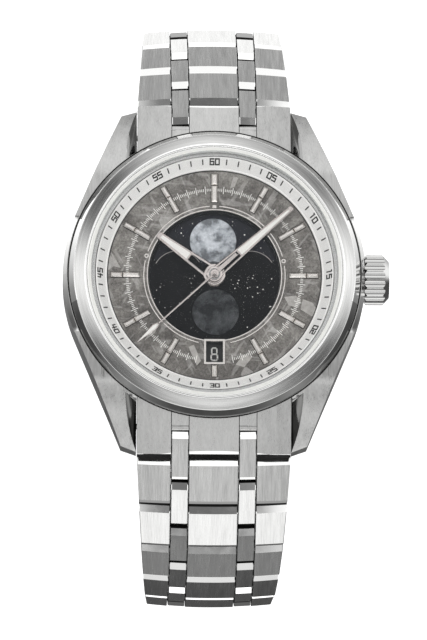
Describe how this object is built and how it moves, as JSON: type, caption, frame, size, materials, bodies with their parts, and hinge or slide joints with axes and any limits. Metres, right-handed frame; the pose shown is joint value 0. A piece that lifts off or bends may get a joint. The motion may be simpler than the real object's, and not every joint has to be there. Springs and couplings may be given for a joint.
{
  "type": "wristwatch",
  "caption": "Steel moon phase wristwatch with a meteorite dial, sloping minute ring, date window and a five-column link bracelet with a folding clasp.",
  "frame": {"origin": "centre of the case back's outer face", "axes": "+Z out of the crystal, +Y towards twelve o'clock, +X towards the crown"},
  "size_m": [0.0463, 0.0838, 0.0551],
  "materials": {
    "brushed_case": "brushed",
    "bright_steel": "polished",
    "plain_steel": "turned",
    "satin_ring": "satin",
    "rhodium": "plated, striped",
    "gilt_brass": "gilded",
    "sapphire": "clear",
    "dial_stone": "etched iron meteorite",
    "smoked_plastic": "smoked, clear",
    "moon_blue": "printed",
    "black_disc": "printed",
    "white_gasket": "moulded",
    "black_rubber": "moulded"
  },
  "bodies": {
    "case": {"mid_case": "brushed_case", "bezel": "brushed_case", "crystal": "sapphire", "crystal_gasket": "white_gasket", "minute_ring": "satin_ring", "dial_plate": "dial_stone", "hour_markers": "bright_steel", "date_frame": "bright_steel", "smoked_disc": "smoked_plastic", "movement_ring": "plain_steel", "main_plate": "rhodium", "train_bridge": "rhodium", "balance_cock": "rhodium", "bridge_screws": "bright_steel", "case_back": "brushed_case", "back_crystal": "sapphire", "back_gasket": "black_rubber", "back_screws_set": "bright_steel", "crown_tube": "plain_steel", "spring_bars": "plain_steel", "end_link_12": "brushed_case", "end_link_6": "brushed_case"},
    "hour_display": {"hour_hand": "bright_steel", "hour_wheel": "gilt_brass"},
    "minute_display": {"minute_hand": "bright_steel", "cannon_pinion": "plain_steel"},
    "seconds_display": {"seconds_hand": "bright_steel"},
    "date_display": {"date_disc": "black_disc"},
    "moon_display": {"moon_disc": "moon_blue"},
    "winding_rotor": {"rotor": "rhodium"},
    "balance": {"balance_wheel": "gilt_brass"},
    "crown_slide": {"crown_gasket": "black_rubber"},
    "crown_knob": {"crown": "bright_steel", "winding_stem": "plain_steel"},
    "cover": {"clasp_cover": "brushed_case"},
    "outer_blade": {"clasp_blade_outer": "bright_steel"},
    "inner_blade": {"clasp_blade_inner": "bright_steel"},
    "left_button": {"button_left": "bright_steel"},
    "right_button": {"button_right": "bright_steel"},
    "bracelet_6_1": {"row_6_1": "brushed_case"},
    "bracelet_6_2": {"row_6_2": "brushed_case"},
    "bracelet_6_3": {"row_6_3": "brushed_case"},
    "bracelet_6_4": {"row_6_4": "brushed_case"},
    "bracelet_6_5": {"row_6_5": "brushed_case"},
    "bracelet_6_6": {"row_6_6": "brushed_case"},
    "bracelet_6_7": {"row_6_7": "brushed_case"},
    "bracelet_6_8": {"row_6_8": "brushed_case"},
    "bracelet_6_9": {"row_6_9": "brushed_case"},
    "bracelet_12_1": {"row_12_1": "brushed_case"},
    "bracelet_12_2": {"row_12_2": "brushed_case"},
    "bracelet_12_3": {"row_12_3": "brushed_case"},
    "bracelet_12_4": {"row_12_4": "brushed_case"},
    "bracelet_12_5": {"row_12_5": "brushed_case"},
    "bracelet_12_6": {"row_12_6": "brushed_case"},
    "bracelet_12_7": {"row_12_7": "brushed_case"},
    "bracelet_12_8": {"row_12_8": "brushed_case"}
  },
  "joints": [
    {"name": "link_6_1", "type": "hinge", "parent": "case", "child": "bracelet_6_1", "pos_m": [0, -0.0234, 0.005], "axis": [1, 0, 0], "range_deg": [-16, 0]},
    {"name": "link_6_2", "type": "hinge", "parent": "bracelet_6_1", "child": "bracelet_6_2", "pos_m": [0, -0.02966, 0.00124], "axis": [1, 0, 0], "range_deg": [-14, 0]},
    {"name": "link_6_3", "type": "hinge", "parent": "bracelet_6_2", "child": "bracelet_6_3", "pos_m": [0, -0.03482, -0.00392], "axis": [1, 0, 0], "range_deg": [-17, 0]},
    {"name": "link_6_4", "type": "hinge", "parent": "bracelet_6_3", "child": "bracelet_6_4", "pos_m": [0, -0.03825, -0.01037], "axis": [1, 0, 0], "range_deg": [-13, 0]},
    {"name": "link_6_5", "type": "hinge", "parent": "bracelet_6_4", "child": "bracelet_6_5", "pos_m": [0, -0.04014, -0.01742], "axis": [1, 0, 0], "range_deg": [-13, 0]},
    {"name": "link_6_6", "type": "hinge", "parent": "bracelet_6_5", "child": "bracelet_6_6", "pos_m": [0, -0.04039, -0.02471], "axis": [1, 0, 0], "range_deg": [-22, 0]},
    {"name": "link_6_7", "type": "hinge", "parent": "bracelet_6_6", "child": "bracelet_6_7", "pos_m": [0, -0.03789, -0.03157], "axis": [1, 0, 0], "range_deg": [-22, 0]},
    {"name": "link_6_8", "type": "hinge", "parent": "bracelet_6_7", "child": "bracelet_6_8", "pos_m": [0, -0.03301, -0.037], "axis": [1, 0, 0], "range_deg": [-20, 0]},
    {"name": "link_6_9", "type": "hinge", "parent": "bracelet_6_8", "child": "bracelet_6_9", "pos_m": [0, -0.02656, -0.04043], "axis": [1, 0, 0], "range_deg": [-18, 0]},
    {"name": "link_12_1", "type": "hinge", "parent": "case", "child": "bracelet_12_1", "pos_m": [0, 0.0234, 0.005], "axis": [-1, 0, 0], "range_deg": [-20, 0]},
    {"name": "link_12_2", "type": "hinge", "parent": "bracelet_12_1", "child": "bracelet_12_2", "pos_m": [0, 0.02938, 0.00081], "axis": [-1, 0, 0], "range_deg": [-9, 0]},
    {"name": "link_12_3", "type": "hinge", "parent": "bracelet_12_2", "child": "bracelet_12_3", "pos_m": [0, 0.03463, -0.00426], "axis": [-1, 0, 0], "range_deg": [-12, 0]},
    {"name": "link_12_4", "type": "hinge", "parent": "bracelet_12_3", "child": "bracelet_12_4", "pos_m": [0, 0.03871, -0.01031], "axis": [-1, 0, 0], "range_deg": [-24, 0]},
    {"name": "link_12_5", "type": "hinge", "parent": "bracelet_12_4", "child": "bracelet_12_5", "pos_m": [0, 0.03998, -0.0175], "axis": [-1, 0, 0], "range_deg": [-18, 0]},
    {"name": "link_12_6", "type": "hinge", "parent": "bracelet_12_5", "child": "bracelet_12_6", "pos_m": [0, 0.03896, -0.02473], "axis": [-1, 0, 0], "range_deg": [-18, 0]},
    {"name": "link_12_7", "type": "hinge", "parent": "bracelet_12_6", "child": "bracelet_12_7", "pos_m": [0, 0.03576, -0.03129], "axis": [-1, 0, 0], "range_deg": [-22, 0]},
    {"name": "link_12_8", "type": "hinge", "parent": "bracelet_12_7", "child": "bracelet_12_8", "pos_m": [0, 0.03034, -0.03617], "axis": [-1, 0, 0], "range_deg": [-22, 0]},
    {"name": "clasp_hinge", "type": "hinge", "parent": "bracelet_12_8", "child": "cover", "pos_m": [0, 0.02348, -0.03867], "axis": [-1, 0, 0], "range_deg": [-16, 0]},
    {"name": "blade_hinge_outer", "type": "hinge", "parent": "cover", "child": "outer_blade", "pos_m": [0, -0.01581, -0.04102], "axis": [-1, 0, 0], "range_deg": [-90, 0]},
    {"name": "blade_hinge_inner", "type": "hinge", "parent": "outer_blade", "child": "inner_blade", "pos_m": [0, 0.01821, -0.03711], "axis": [1, 0, 0], "range_deg": [-75, 0]},
    {"name": "button_left_press", "type": "slide", "parent": "cover", "child": "left_button", "axis": [1, 0, 0], "range_m": [0, 0.0007], "stiffness_N_per_m": 300},
    {"name": "button_right_press", "type": "slide", "parent": "cover", "child": "right_button", "axis": [-1, 0, 0], "range_m": [0, 0.0007], "stiffness_N_per_m": 300},
    {"name": "hour_turn", "type": "hinge", "parent": "case", "child": "hour_display", "pos_m": [0, 0, 0.00865], "axis": [0, 0, -1], "continuous": true},
    {"name": "minute_turn", "type": "hinge", "parent": "case", "child": "minute_display", "pos_m": [0, 0, 0.0091], "axis": [0, 0, -1], "continuous": true},
    {"name": "seconds_turn", "type": "hinge", "parent": "case", "child": "seconds_display", "pos_m": [0, 0, 0.00955], "axis": [0, 0, -1], "continuous": true},
    {"name": "date_turn", "type": "hinge", "parent": "case", "child": "date_display", "pos_m": [0, 0, 0.00725], "axis": [0, 0, -1], "continuous": true},
    {"name": "moon_turn", "type": "hinge", "parent": "case", "child": "moon_display", "pos_m": [0, 0, 0.00725], "axis": [0, 0, -1], "continuous": true},
    {"name": "rotor_turn", "type": "hinge", "parent": "case", "child": "winding_rotor", "pos_m": [0, 0, 0.0026], "axis": [0, 0, 1], "continuous": true},
    {"name": "balance_turn", "type": "hinge", "parent": "case", "child": "balance", "pos_m": [-0.0062, -0.0052, 0.0043], "axis": [0, 0, 1], "range_deg": [-270, 270]},
    {"name": "crown_pull", "type": "slide", "parent": "case", "child": "crown_slide", "axis": [1, 0, 0], "range_m": [0, 0.0016]},
    {"name": "crown_turn", "type": "hinge", "parent": "crown_slide", "child": "crown_knob", "pos_m": [0.02135, 0, 0.0054], "axis": [1, 0, 0], "continuous": true}
  ],
  "couplings": [
    {"joint": "hour_turn", "follows": "minute_turn", "ratio": 0.083333},
    {"joint": "date_turn", "follows": "minute_turn", "ratio": 0.0013441},
    {"joint": "moon_turn", "follows": "minute_turn", "ratio": 0.00070621}
  ]
}
